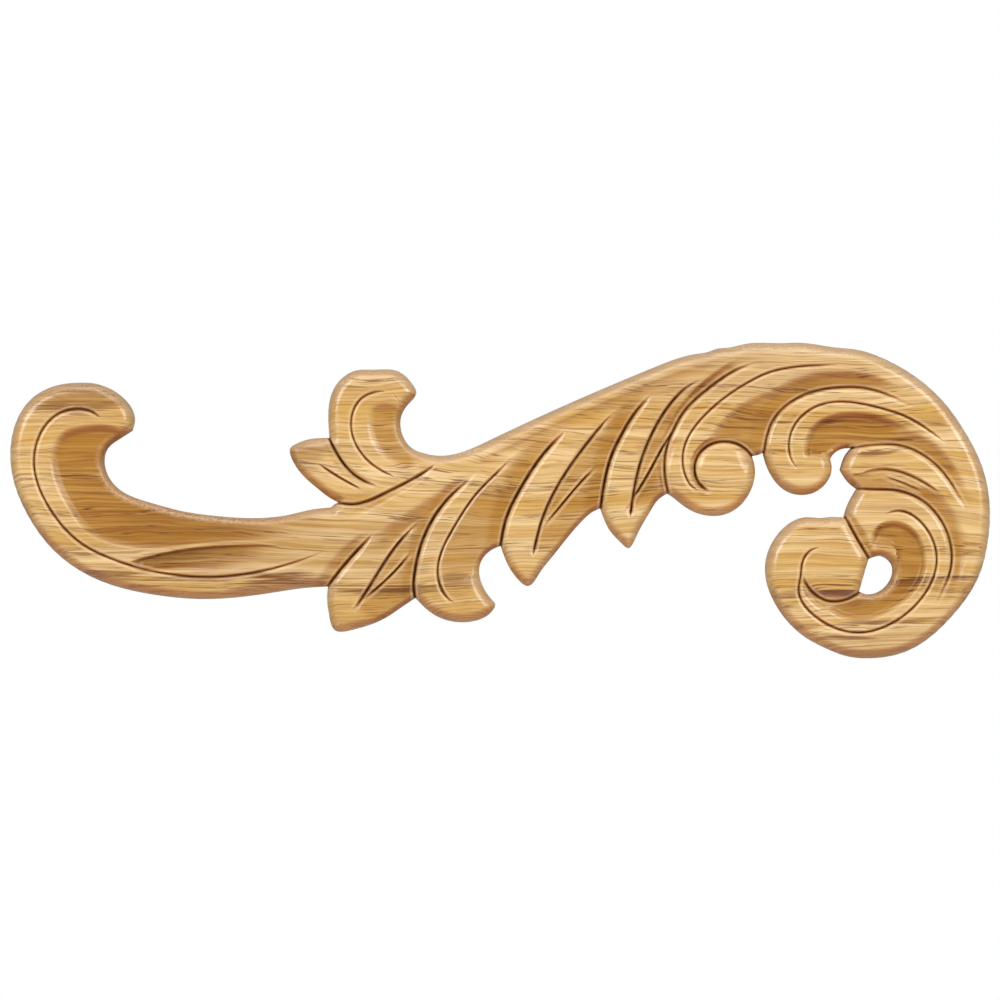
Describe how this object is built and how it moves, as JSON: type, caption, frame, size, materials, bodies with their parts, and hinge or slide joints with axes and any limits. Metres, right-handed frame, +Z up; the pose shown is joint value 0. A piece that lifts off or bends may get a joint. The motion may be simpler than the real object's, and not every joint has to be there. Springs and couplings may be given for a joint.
{
  "type": "wood applique",
  "caption": "Carved oak scroll applique with acanthus leaves, a hook at one end and a volute at the other, flat behind for gluing on.",
  "frame": {"origin": "on the flat back, in the middle of the length and of the height", "axes": "+X along the scroll from the hook to the volute, +Y out of the flat back towards what it is glued to, +Z up"},
  "size_m": [0.3001, 0.012, 0.0966],
  "materials": {
    "oak": "open-grained oak under satin varnish"
  },
  "bodies": {
    "root": {"carved_scroll": "oak"}
  },
  "joints": []
}
